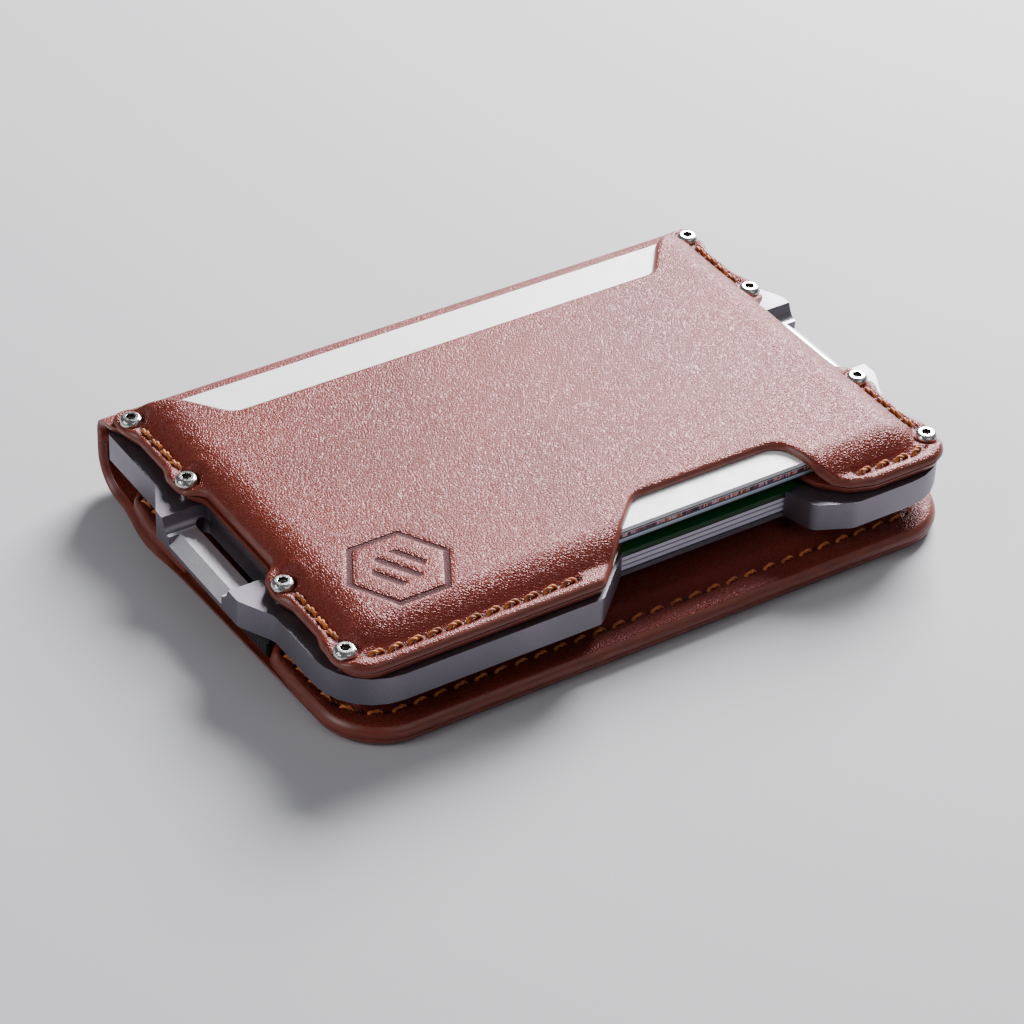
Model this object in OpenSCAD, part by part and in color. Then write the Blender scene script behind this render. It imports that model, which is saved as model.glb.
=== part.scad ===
// Bifold minimalist wallet: a folded leather cover, a metal card tray screwed under the upper
// leather, a moulded outer card pocket and seven cards. Millimetres, +Z up, the wallet lies shut
// on its lower panel. The footprint's centre is on the origin, the spine is at +Y, the thumb
// notch faces -Y, and the long sides run along X.

/* [Display] */

/* [Cards] */
// card length, along X
card_length = 85.6; // [85:0.1:86.5]
// card depth, along Y
card_depth = 53.98; // [53:0.01:55]
// card thickness
card_thickness = 0.76; // [0.6:0.02:0.9]
// gap between stacked cards
card_gap = 0.03; // [0.01:0.01:0.1]
// card corner radius
card_corner = 3.18; // [2.5:0.01:3.5]

/* [Lower cover] */
// half of the lower panel's length beside the spine
cover_half = 50.1; // [49:0.1:53]
// half of the lower panel's length at its front edge
cover_front_half = 48.4; // [47:0.1:53]
// thickness of the lower outer leather
cover_thickness = 1.6; // [1.2:0.1:2]
// radius of the lower panel's front corners
cover_corner = 9; // [5:0.5:12]
// thickness of the inner pocket leather
inner_thickness = 1.6; // [1.2:0.1:2]
// height of the flat space inside the hidden pocket
inner_space = 0.8; // [0.4:0.1:1.2]
// width of the elastic cash band
band_width = 14; // [10:1:20]
// thickness of the elastic cash band
band_thickness = 0.6; // [0.4:0.1:1]

/* [Tray] */
// height of the tray's underside above the table
tray_bottom = 6.4; // [5.5:0.1:8]
// overall height of the tray
tray_height = 4.2; // [3.8:0.1:5]
// thickness of the tray's floor
tray_floor = 0.6; // [0.5:0.1:1]
// half of the tray's length over its straight rails
tray_half = 48.7; // [47:0.1:50]
// half of the tray's length over the two lanyard bars
bulge_half = 51.3; // [50:0.1:53]
// width of each lanyard slot
slot_width = 2.1; // [1.6:0.1:3]
// height of the lanyard bars
bar_height = 2.1; // [1.5:0.1:3]

/* [Upper leather] */
// thickness of the base leather on the tray
base_thickness = 1.2; // [1:0.1:1.6]
// thickness of the pocket leather's stitched rim
rim_thickness = 1.2; // [1:0.1:1.6]
// height of the moulded pocket above the rim
dome_rise = 2.4; // [1.5:0.1:4]
// half of the upper leather's length at the screws
leather_half = 47.9; // [47.5:0.1:48.4]
// distance of the outer screws from the tray's middle, along Y
outer_screw_y = 28.4; // [27:0.1:30]
// distance of the inner screws from the tray's middle, along Y
inner_screw_y = 12.8; // [10:0.1:15]
// distance of the screws from the middle, along X
screw_x = 46; // [45:0.1:47]

/* [Stitching] */
// distance from stitch to stitch
stitch_pitch = 3; // [2.5:0.1:4]
// visible length of one stitch
stitch_length = 2.3; // [1.5:0.1:3]
// thread radius
thread_r = 0.35; // [0.2:0.05:0.5]

/* [Hidden] */
eps = 0.01;
shift_y = 0.6;                        // puts the footprint's centre on the origin
tray_top = tray_bottom + tray_height;
rim_bottom = tray_top + base_thickness;
rim_top = rim_bottom + rim_thickness;
pocket_top = rim_top + dome_rise;
card_front = -26.3;                   // front edge of every card
card_middle = card_front + card_depth / 2;
cover_front = -35.2;
inner_rear = 26.3;
spine_outer = 34;                     // outer face of the upright spine
spine_half = 48.6;
fold_gap = [1.3, 2.4];                // half of the gap in the lower and upper fold, degrees
low_fold = [28.5, 5.5, 5.5];          // y, z and outer radius of the lower fold's arc
top_fold = [31, 8.8, 3];              // the same for the upper fold's arc
band_y = -6;                          // middle of the cash band
mark_at = [-33, -19.8];               // middle of the pressed mark on the pocket

leather = [0.42, 0.16, 0.08];
dark_leather = [0.30, 0.11, 0.06];
metal = [0.75, 0.75, 0.77];
steel = [0.62, 0.62, 0.64];
thread = [0.80, 0.38, 0.10];

// One rounded corner at b, coming from a and leaving to c, with radius r, as polygon points.
function corner(a, b, c, r, n = 6) =
    let (u = (a - b) / norm(a - b), v = (c - b) / norm(c - b),
         half = acos(max(-1, min(1, u * v))) / 2,
         run = r / tan(half), mid = b + (u + v) / norm(u + v) * r / sin(half),
         p = b + u * run, q = b + v * run,
         s = atan2(p[1] - mid[1], p[0] - mid[0]), e = atan2(q[1] - mid[1], q[0] - mid[0]),
         turn = e - s > 180 ? e - s - 360 : e - s < -180 ? e - s + 360 : e - s)
    [for (i = [0:n]) mid + r * [cos(s + turn * i / n), sin(s + turn * i / n)]];

// A closed outline with rounded corners from a list of [x, y, radius].
function rounded(pts) =
    let (n = len(pts))
    [for (i = [0:n - 1])
        let (a = pts[(i + n - 1) % n], b = pts[i], c = pts[(i + 1) % n])
        each b[2] <= 0 ? [[b[0], b[1]]]
            : corner([a[0], a[1]], [b[0], b[1]], [c[0], c[1]], b[2])];

// The same list mirrored to -X and walked backwards, to close a symmetric outline.
function mirrored(pts) = [for (i = [len(pts) - 1:-1:0]) [-pts[i][0], pts[i][1], pts[i][2]]];

// Every part is drawn about the tray's middle and moved so that the footprint is centred.
module placed() translate([0, shift_y, 0]) children();

module slab(pts, low, high) translate([0, 0, low]) linear_extrude(high - low) polygon(pts);

module block(low, high) translate(low) cube(high - low);

// ---- lower cover -------------------------------------------------------------------------

// A stretch of the folded sheet, its arc drawn in the Y-Z plane and swept along X.
module fold_arc(fold, inner, from, to) {
    translate([-spine_half, fold[0], fold[1]]) rotate([90, 0, 90])
    linear_extrude(2 * spine_half) difference() {
        intersection() {
            circle(fold[2], $fn = 96);
            polygon([[0, 0], for (a = [from, (from + to) / 2, to]) 2 * fold[2] * [cos(a), sin(a)]]);
        }
        circle(inner, $fn = 96);
    }
}

module cover_leather() color(leather) placed() {
    slab(rounded([[-cover_front_half, cover_front, cover_corner],
                  [cover_front_half, cover_front, cover_corner], [cover_half, 22, 6],
                  [spine_half, 26.5, 6], [spine_half, low_fold[0], 0],
                  [-spine_half, low_fold[0], 0], [-spine_half, 26.5, 6], [-cover_half, 22, 6]]),
         0, cover_thickness);
    fold_arc(low_fold, low_fold[2] - cover_thickness, -90, -45 - fold_gap[0]);
}

inner_side = [[cover_front_half, cover_front, cover_corner], [48.8, -13.6, 0.8], [47.9, -13, 0.5],
              [47.9, 7.5, 0.8], [49.2, 8.6, 0.8], [49.4, inner_rear, 4]];

module inner_pocket_leather() color(dark_leather) placed() {
    rim = cover_thickness + inner_thickness;
    difference() {
        union() {
            slab(rounded(concat(inner_side, mirrored(inner_side))), cover_thickness, rim);
            slab(rounded([[-44.8, -29.6, 5], [44.8, -29.6, 5], [44.8, inner_rear, 0],
                          [-44.8, inner_rear, 0]]), rim - eps, rim + inner_space);
        }
        slab(rounded([[-43.6, -28.4, 4], [43.6, -28.4, 4], [43.6, 40, 0], [-43.6, 40, 0]]),
             cover_thickness - 1, cover_thickness + inner_space);
        for (s = [-1, 1])
            block([s * 47.2 - 3.7, band_y - band_width / 2 - 0.3, cover_thickness - 1],
                  [s * 47.2 + 3.7, band_y + band_width / 2 + 0.3,
                   cover_thickness + band_thickness + 0.1]);
    }
}

// The band crosses the inner leather, turns down in the edge recesses and ends in the pocket.
module cash_band() color([0.03, 0.03, 0.035]) placed() {
    rim = cover_thickness + inner_thickness;
    low = cover_thickness + 0.03;
    t = band_thickness;
    over = rim + 0.03;
    pad = rim + inner_space + 0.03;
    upper = [[44.9, pad], [45.9, over], [47.95, over], [47.95, low + t], [41, low + t], [41, low]];
    outer = [[48.55, low], [48.55, over + t], [46.1, over + t], [45.1, pad + t]];
    half = concat(upper, outer);
    other = [for (i = [len(half) - 1:-1:0]) [-half[i][0], half[i][1]]];
    translate([0, band_y + band_width / 2, 0]) rotate([90, 0, 0]) linear_extrude(band_width)
        polygon(concat(half, other));
}

// ---- spine and upper leather -------------------------------------------------------------

module spine_leather() color(leather) placed() {
    fold_arc(low_fold, low_fold[2] - cover_thickness, -45 + fold_gap[0], 0);
    fold_arc(top_fold, top_fold[2] - base_thickness, 0, 45 - fold_gap[1]);
    translate([-spine_half, 0, 0]) rotate([90, 0, 90]) linear_extrude(2 * spine_half)
        polygon([[spine_outer - cover_thickness, low_fold[1] - eps], [spine_outer, low_fold[1] - eps],
                 [spine_outer, top_fold[1] + eps],
                 [spine_outer - base_thickness, top_fold[1] + eps]]);
}

// The edge dips in between the screws and is cut back to a waist beside each lanyard bar.
function side_edge(half, waist) =
    [[half, 26.4, 2], [half - 0.8, 24, 3], [half - 0.8, 17.8, 3], [half, 14.6, 2],
     [half - 0.4, 11.6, 2], [waist, 8.9, 1.5], [waist, -7.6, 1.5], [half - 0.4, -11, 2],
     [half, -14, 2], [half - 0.8, -17.2, 3], [half - 0.8, -22.6, 3], [half, -26, 3],
     [half, -33, 4.5]];

module screw_places() for (x = [-screw_x, screw_x], y = [-outer_screw_y, -inner_screw_y,
                                                         inner_screw_y, outer_screw_y])
    translate([x, y, 0]) children();

module base_leather() color(dark_leather) placed() {
    side = side_edge(leather_half - 0.5, 45.4);
    difference() {
        slab(rounded(concat([[spine_half, top_fold[0], 0], [spine_half, 29, 1]],
                            side,
                            [[33.5, -33, 2], [28.6, -30.6, 1.5], [26.2, -23.6, 2.5],
                             [2, -23.6, 3], [-11.6, -33, 1]],
                            mirrored(side), [[-spine_half, 29, 1], [-spine_half, top_fold[0], 0]])),
             tray_top, rim_bottom);
        screw_places() translate([0, 0, tray_top - 1]) cylinder(h = 4, r = 1.2, $fn = 32);
    }
    fold_arc(top_fold, top_fold[2] - base_thickness, 45 + fold_gap[1], 90);
}

// The moulded pocket: a stitched rim, a raised panel over the cards, the thumb notch in front
// and the wide mouth over the rear edge of the cards.
module raised(x_low, front_low, rear_low, x_top, front_top, rear_top, low, high, r) hull() {
    slab(rounded([[-x_low, front_low, r], [x_low, front_low, r], [x_low, rear_low, r],
                  [-x_low, rear_low, r]]), low, low + 0.1);
    slab(rounded([[-x_top, front_top, r], [x_top, front_top, r], [x_top, rear_top, r],
                  [-x_top, rear_top, r]]), high - 0.1, high);
}

module pressed_mark() {
    depth = 0.25;
    translate([mark_at[0], mark_at[1], pocket_top - depth]) {
        difference() {
            cylinder(h = 1, r = 7.6, $fn = 6);
            translate([0, 0, -1]) cylinder(h = 3, r = 6.8, $fn = 6);
        }
        for (k = [-1:1]) rotate(30) translate([k * 2.6 - 0.5, -3.4 + abs(k), 0])
            cube([1, 6.8 - 2 * abs(k), 1]);
    }
}

module pocket_leather() color(leather) placed() {
    side = side_edge(leather_half, 45);
    notch = [[-9.8, -33, 1.2], [1.9, -21.9, 3], [25.4, -21.9, 3.2], [27.2, -28.4, 3.5],
             [30.4, -31.8, 2.5], [34, -33, 2]];
    difference() {
        union() {
            slab(rounded(concat([[46.8, 31.4, 2.5], [leather_half, 29.6, 1.5]], side,
                                mirrored(side), [[-leather_half, 29.6, 1.5], [-46.8, 31.4, 2.5]])),
                 rim_bottom, rim_top);
            raised(45.2, -29.2, 31, 42.6, -26.6, 30.6, rim_top - 0.3, pocket_top, 2.4);
        }
        slab(rounded([[-43, -26.6, 2.2], [43, -26.6, 2.2], [43, 40, 0], [-43, 40, 0]]),
             rim_bottom - 1, pocket_top - 1.15);
        slab(rounded(concat([[-9.8 - 12 * 11.7 / 11.1, -45, 0]], [for (p = notch) if (p[0] > 0) p],
                            [[34, -45, 0]])), rim_bottom - 1, pocket_top + 1);
        slab(rounded([[-34.3, 20.8, 2.5], [34.3, 20.8, 2.5], [39.2, 27, 1.5], [43.6, 30, 0.8],
                      [43.6, 40, 0], [-43.6, 40, 0], [-43.6, 30, 0.8], [-39.2, 27, 1.5]]),
             rim_bottom - 1, pocket_top + 1);
        screw_places() {
            translate([0, 0, rim_bottom - 1]) cylinder(h = 8, r = 1.2, $fn = 32);
            translate([0, 0, rim_top - 0.4]) cylinder(h = 8, r = 1.95, $fn = 32);
        }
        pressed_mark();
    }
}

// ---- tray, screws and cards ----------------------------------------------------------------

module tray() color(metal) placed() {
    side = [[tray_half, 30.3, 0.6], [tray_half, 16.6, 3], [bulge_half, 11.6, 1.5],
            [bulge_half, -10.4, 1.5], [tray_half, -15.4, 3], [tray_half, -33.6, 8.5]];
    difference() {
        slab(rounded(concat(side, [[30.5, -33.6, 2.5], [25.2, -31.2, 2], [23.8, -26.6, 0],
                                   [-2.7, -26.6, 0], [-10.3, -33.6, 1.2]], mirrored(side))),
             tray_bottom, tray_top);
        // the card bay, open to the spine
        slab(rounded([[-43, -26.6 - eps, 0], [43, -26.6 - eps, 0], [43, 40, 0], [-43, 40, 0]]),
             tray_bottom + tray_floor, tray_top + 1);
        for (s = [-1, 1]) {
            // the lanyard slot
            slab(rounded([[s * 44.9, -8.2, 0.9], [s * (44.9 + slot_width), -8.2, 0.9],
                          [s * (44.9 + slot_width), 9.2, 0.9], [s * 44.9, 9.2, 0.9]]),
                 tray_bottom - 1, tray_top + 1);
            // the bar's outer edge slopes down
            translate([0, 8.1, 0]) rotate([90, 0, 0]) linear_extrude(14.2)
                polygon([[s * 49.6, tray_bottom + bar_height + eps],
                         [s * 55, tray_bottom + bar_height + eps],
                         [s * 55, tray_bottom - 2.6], [s * bulge_half, tray_bottom + 0.7]]);
            // the bar is lower than the rails beside it
            translate([s > 0 ? 44.9 : -60, 0, 0]) rotate([90, 0, 90]) linear_extrude(60 - 44.9)
                polygon(rounded([[-7, tray_bottom + bar_height, 1.6], [9, tray_bottom + bar_height, 1.6],
                                 [10.4, tray_top + 1, 0], [-8.4, tray_top + 1, 0]]));
        }
        screw_places() translate([0, 0, tray_bottom + 0.8]) cylinder(h = 8, r = 1.05, $fn = 32);
        // shallow pocket in the front wall's top, beside the notch
        translate([-17, -30, tray_top - 1.2]) cylinder(h = 3, r = 1.1, $fn = 32);
    }
}

module screw(x, y) color(steel) placed() translate([x, y, rim_top - 0.38]) difference() {
    rotate_extrude($fn = 48)
        polygon([[0, 0], [1.55, 0], [1.55, 0.45], [1.35, 0.8], [1, 1], [0, 1]]);
    translate([0, 0, 0.35]) cylinder(h = 2, r = 0.72, $fn = 6);
}

module shank(x, y) color(steel) placed()
    translate([x, y, tray_bottom + 1.2]) cylinder(h = rim_top - 0.37 - tray_bottom - 1.2, r = 1, $fn = 32);

module cover_screw(x, y) {
    screw(x, y);
    shank(x, y);
}

module card(z, tint) color(tint) placed()
    slab(rounded([for (c = [[-1, -1], [1, -1], [1, 1], [-1, 1]])
                     [c[0] * card_length / 2, card_middle + c[1] * card_depth / 2, card_corner]]),
         z, z + card_thickness);

function stack(low, k) = low + card_gap + k * (card_thickness + card_gap);

// ---- stitching -------------------------------------------------------------------------------

// Stitches laid along a line from a to b, half sunk into the leather whose top is at z.
module run(a, b, z) {
    d = b - a;
    count = max(1, floor(norm(d) / stitch_pitch + 0.5));
    for (k = [0:count - 1])
        translate([a[0] + d[0] * (k + 0.5) / count, a[1] + d[1] * (k + 0.5) / count, z])
        rotate(atan2(d[1], d[0])) translate([-stitch_length / 2, 0, 0]) rotate([0, 90, 0])
            cylinder(h = stitch_length, r = thread_r, $fn = 24);
}

module seam(points, z) color(thread) placed()
    for (i = [0:len(points) - 2]) run(points[i], points[i + 1], z);

cover_seam = cover_thickness + inner_thickness + 0.1;
top_seam = rim_top + 0.1;
seam_x = 46.9;

module thread_cover(s) {
    seam([[s * (seam_x - 0.5), -26.2], [s * seam_x, -14.5]], cover_seam);
    seam([[s * seam_x, 9.8], [s * (seam_x + 0.2), 23.8]], cover_seam);
}

module thread_cover_front()
    seam([[0.5 - seam_x, -26.4], [-44.4, -29.8], [-41.2, -31.4], [41.2, -31.4], [44.4, -29.8],
          [seam_x - 0.5, -26.4]], cover_seam);

module thread_rear(s) seam([[s * 45.7, 26.1], [s * 45.5, 15.1]], top_seam);

module thread_side(s) seam([[s * 45.5, -14.9], [s * 45.7, -26.1]], top_seam);

module thread_front_left()
    seam([[-43.9, -30.3], [-41.5, -30.8], [-12.6, -30.8]], top_seam);

module thread_front_right()
    seam([[32.3, -30.6], [41.5, -30.8], [43.9, -30.3]], top_seam);

cover_leather();
inner_pocket_leather();
cash_band();
thread_cover(-1);  // thread_cover_left
thread_cover_front();
thread_cover(1);  // thread_cover_right
spine_leather();
tray();
base_leather();
pocket_leather();
cover_screw(-screw_x, outer_screw_y);  // screw_1
cover_screw(-screw_x, inner_screw_y);  // screw_2
cover_screw(-screw_x, -inner_screw_y);  // screw_3
cover_screw(-screw_x, -outer_screw_y);  // screw_4
cover_screw(screw_x, -outer_screw_y);  // screw_5
cover_screw(screw_x, -inner_screw_y);  // screw_6
cover_screw(screw_x, inner_screw_y);  // screw_7
cover_screw(screw_x, outer_screw_y);  // screw_8
thread_rear(-1);  // thread_rear_left
thread_side(-1);  // thread_side_left
thread_front_left();
thread_front_right();
thread_side(1);  // thread_side_right
thread_rear(1);  // thread_rear_right
card(stack(rim_bottom, 0), [0.45, 0.52, 0.60]);  // quick_card_1
card(stack(rim_bottom, 1), [0.25, 0.16, 0.22]);  // quick_card_2
card(stack(rim_bottom, 2), [0.95, 0.95, 0.95]);  // quick_card_3
card(stack(tray_bottom + tray_floor, 0), [0.80, 0.78, 0.86]);  // tray_card_1
card(stack(tray_bottom + tray_floor, 1), [0.80, 0.78, 0.86]);  // tray_card_2
card(stack(tray_bottom + tray_floor, 2), [0.20, 0.21, 0.23]);  // tray_card_3
card(stack(tray_bottom + tray_floor, 3), [0.06, 0.28, 0.14]);  // tray_card_4
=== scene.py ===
import math

import bpy
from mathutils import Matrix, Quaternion, Vector
from mathutils.kdtree import KDTree


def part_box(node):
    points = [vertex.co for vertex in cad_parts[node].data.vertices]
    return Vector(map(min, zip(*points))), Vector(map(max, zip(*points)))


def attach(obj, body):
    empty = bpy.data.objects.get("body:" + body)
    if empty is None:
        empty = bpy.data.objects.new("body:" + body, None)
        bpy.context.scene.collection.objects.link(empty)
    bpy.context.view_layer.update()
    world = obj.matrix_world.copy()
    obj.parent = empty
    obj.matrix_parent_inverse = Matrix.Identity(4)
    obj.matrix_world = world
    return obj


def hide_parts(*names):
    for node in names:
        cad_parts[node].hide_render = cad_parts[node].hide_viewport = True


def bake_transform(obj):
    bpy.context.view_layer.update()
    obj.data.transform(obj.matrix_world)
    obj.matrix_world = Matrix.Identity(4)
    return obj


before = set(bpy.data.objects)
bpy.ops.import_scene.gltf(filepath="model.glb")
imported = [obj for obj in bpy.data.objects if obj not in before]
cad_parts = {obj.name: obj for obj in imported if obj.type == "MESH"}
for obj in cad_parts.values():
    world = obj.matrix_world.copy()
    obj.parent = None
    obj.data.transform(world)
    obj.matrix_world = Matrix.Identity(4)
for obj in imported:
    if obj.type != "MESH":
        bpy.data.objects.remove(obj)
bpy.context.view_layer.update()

mm = 0.001

# ---- The table, the lights and the camera --------------------------------------------------
# A plain pale table top under soft studio lights: one strong softbox behind the wallet and to its
# right, which the leather and the metal mirror, and two weak ones to fill the left and the front.

bpy.ops.object.select_all(action="DESELECT")
bpy.ops.mesh.primitive_plane_add(size=6)
table_top = bpy.context.object
table_top.name = "table_top"


def linear(hex_colour):
    """An sRGB hex colour as linear red, green, blue and alpha."""
    parts = [int(hex_colour[i:i + 2], 16) / 255 for i in (1, 3, 5)]
    return [c / 12.92 if c <= 0.04045 else ((c + 0.055) / 1.055) ** 2.4 for c in parts] + [1.0]


def feed(material, node, inputs):
    """Fills a node's inputs: a value is set on its socket, and a node, by its first output, or any
    other output is linked to it."""
    for socket, value in inputs.items():
        if isinstance(value, bpy.types.Node):
            value = value.outputs[0]
        if isinstance(value, bpy.types.NodeSocket):
            material.node_tree.links.new(value, node.inputs[socket])
        else:
            node.inputs[socket].default_value = value
    return node


def add(material, kind, inputs, **settings):
    """Adds one shader node with its settings and inputs."""
    node = material.node_tree.nodes.new("ShaderNode" + kind)
    for name, value in settings.items():
        setattr(node, name, value)
    return feed(material, node, inputs)


def new_material(name):
    """An empty material with one principled shader, and that shader."""
    material = bpy.data.materials.new(name)
    material.use_nodes = True
    return material, material.node_tree.nodes["Principled BSDF"]


# Sprayed matt board: pale grey with a faint fine tooth.
painted_board, board_shader = new_material("sprayed matt board")
board_place = add(painted_board, "TexCoord", {}).outputs["Object"]
board_tooth = add(painted_board, "TexNoise", {"Vector": board_place, "Scale": 1 / (0.8 * mm),
        "Detail": 3.0})
board_bump = add(painted_board, "Bump", {"Height": board_tooth, "Strength": 0.15, "Distance": 0.05 * mm})
feed(painted_board, board_shader, {"Normal": board_bump, "Base Color": linear("#B4B4B8"),
        "Roughness": 0.7})
table_top.data.materials.append(painted_board)

middle = Vector((0, 0, 8 * mm))


def softbox(name, place, size, watts):
    """A square softbox that faces the wallet."""
    light = bpy.data.lights.new(name, "AREA")
    light.shape = "SQUARE"
    light.size = size
    light.energy = watts
    holder = bpy.data.objects.new(name, light)
    bpy.context.scene.collection.objects.link(holder)
    holder.location = place
    holder.visible_camera = False
    holder.rotation_euler = (middle - Vector(place)).to_track_quat("-Z", "Y").to_euler()


softbox("softbox_behind", (0.49, 0.36, 0.37), 0.36, 22.0)
softbox("softbox_left", (-0.75, 0.10, 0.45), 0.45, 3.0)
softbox("softbox_front", (0.15, -0.70, 0.75), 0.60, 1.4)

room = bpy.data.worlds.new("soft_room")
room.use_nodes = True
feed(room, room.node_tree.nodes["Background"], {"Color": linear("#B9BAC0"), "Strength": 0.27})
bpy.context.scene.world = room

camera = bpy.data.objects.new("camera", bpy.data.cameras.new("camera"))
bpy.context.scene.collection.objects.link(camera)
camera.data.lens = 124.8
camera.data.sensor_width = 36
camera.data.clip_start = 0.01
camera.location = (-0.2226, -0.3211, 0.2955)
look = Vector((0.44995, 0.65712, -0.60477))
roll = Quaternion((0, 0, 1), math.radians(2.68))
camera.rotation_euler = (look.to_track_quat("-Z", "Y") @ roll).to_euler()
bpy.context.scene.camera = camera

# ---- The folded leather sheet: lower panel and lower half of the spine ----------------------
# One sheet of pebbled, vegetable-tanned cowhide is the lower panel, the spine and the leather on
# the tray. It is cut out flat, its edges are sanded and burnished, and it is folded while damp.
# Its lower half is here: from the front edge, round the lower fold, to the middle of the spine.

cover_low, cover_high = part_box("cover_leather")
spine_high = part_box("spine_leather")[1]
tray_low, tray_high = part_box("tray")
base_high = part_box("base_leather")[1]
pocket_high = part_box("pocket_leather")[1]

tray_middle_y = 0.6 * mm
rim_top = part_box("screw_1")[1].z - 0.62 * mm
cover_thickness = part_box("inner_pocket_leather")[0].z
lower_fold_r = 5.5 * mm
upper_fold_r = 3.0 * mm
cover_front_half = 48.4 * mm
corner_radius = 9 * mm
corner_rows = 26
edge_share = 0.93
panel_edge_r = 1.5 * mm
spine_edge_r = 0.7 * mm
base_thickness = base_high.z - tray_high.z
spine_middle_z = 7.2 * mm


def arc_length_points(points):
    """Running length at each point of a line of points."""
    lengths = [0.0]
    for a, b in zip(points, points[1:]):
        lengths.append(lengths[-1] + (b - a).length)
    return lengths


def along(points, lengths, t):
    """The place at share t of a line's length."""
    wanted = t * lengths[-1]
    k = 0
    while k < len(points) - 2 and lengths[k + 1] < wanted:
        k += 1
    span = lengths[k + 1] - lengths[k]
    return points[k].lerp(points[k + 1], (wanted - lengths[k]) / span if span > 0 else 0.0)


def select(*pieces):
    """Selects these pieces and nothing else, the first of them active."""
    bpy.ops.object.select_all(action="DESELECT")
    for piece in pieces:
        piece.select_set(True)
    bpy.context.view_layer.objects.active = pieces[0]


def denser_at_ends(s, share):
    """Moves a share 0 to 1 so that steps are shorter near both ends."""
    return s - share * math.sin(2 * math.pi * s) / (2 * math.pi)


def step(low, high, value):
    """Rises smoothly from 0 to 1 between low and high."""
    t = min(1.0, max(0.0, (value - low) / (high - low)))
    return t * t * (3 - 2 * t)


def round_over(inside, radius):
    """The share of its height that a rounded edge has, at a distance inside the edge."""
    return math.sqrt(1 - max(0.0, 1 - inside / radius) ** 2)


def flat_grid(name, columns, rows, *materials):
    """A grid one unit square with its first corner at the origin, to be laid out as a sheet."""
    bpy.ops.object.select_all(action="DESELECT")
    bpy.ops.mesh.primitive_grid_add(x_subdivisions=columns, y_subdivisions=rows, size=1,
                                    location=(0.5, 0.5, 0))
    sheet = bpy.context.object
    bpy.ops.object.transform_apply(location=True, rotation=True, scale=True)
    sheet.name = name
    sheet.data.name = name
    for material in materials:
        sheet.data.materials.append(material)
    return sheet


def apply_modifiers(piece):
    """Applies a piece's modifiers in their order."""
    select(piece)
    for modifier in list(piece.modifiers):
        bpy.ops.object.modifier_apply(modifier=modifier.name)


def vary_wall(sheet, shares, skived=None):
    """Lets a sheet thin out where its edge is sanded round, and where its inside is pared away. Where
    it has less than edge_share of its thickness, it is burnished edge."""
    group = sheet.vertex_groups.new(name="wall")
    for index, share in enumerate(shares):
        group.add([index], share * skived[index] if skived else share, "REPLACE")
    for polygon in sheet.data.polygons:
        if max(shares[index] for index in polygon.vertices) < edge_share:
            polygon.material_index = 1


def round_edges(piece, width, segments, sharper_than, material):
    """Rounds the edges where the surface turns by more than an angle in degrees."""
    rounded = piece.modifiers.new("round edges", "BEVEL")
    rounded.width = width
    rounded.segments = segments
    rounded.limit_method = "ANGLE"
    rounded.angle_limit = math.radians(sharper_than)
    rounded.use_clamp_overlap = True
    rounded.material = material
    apply_modifiers(piece)


def thicken(sheet, thickness, rounding, inward=-1.0, cut_edge=1):
    """Gives a sheet its thickness and small round edges. The cut edge takes the second material,
    where the sheet has two."""
    wall = sheet.modifiers.new("thickness", "SOLIDIFY")
    wall.thickness = thickness
    wall.offset = inward
    wall.material_offset_rim = cut_edge
    if sheet.vertex_groups:
        wall.vertex_group = sheet.vertex_groups[0].name
    round_edges(sheet, rounding, 2, 50, cut_edge)
    bpy.ops.object.shade_smooth()


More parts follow.
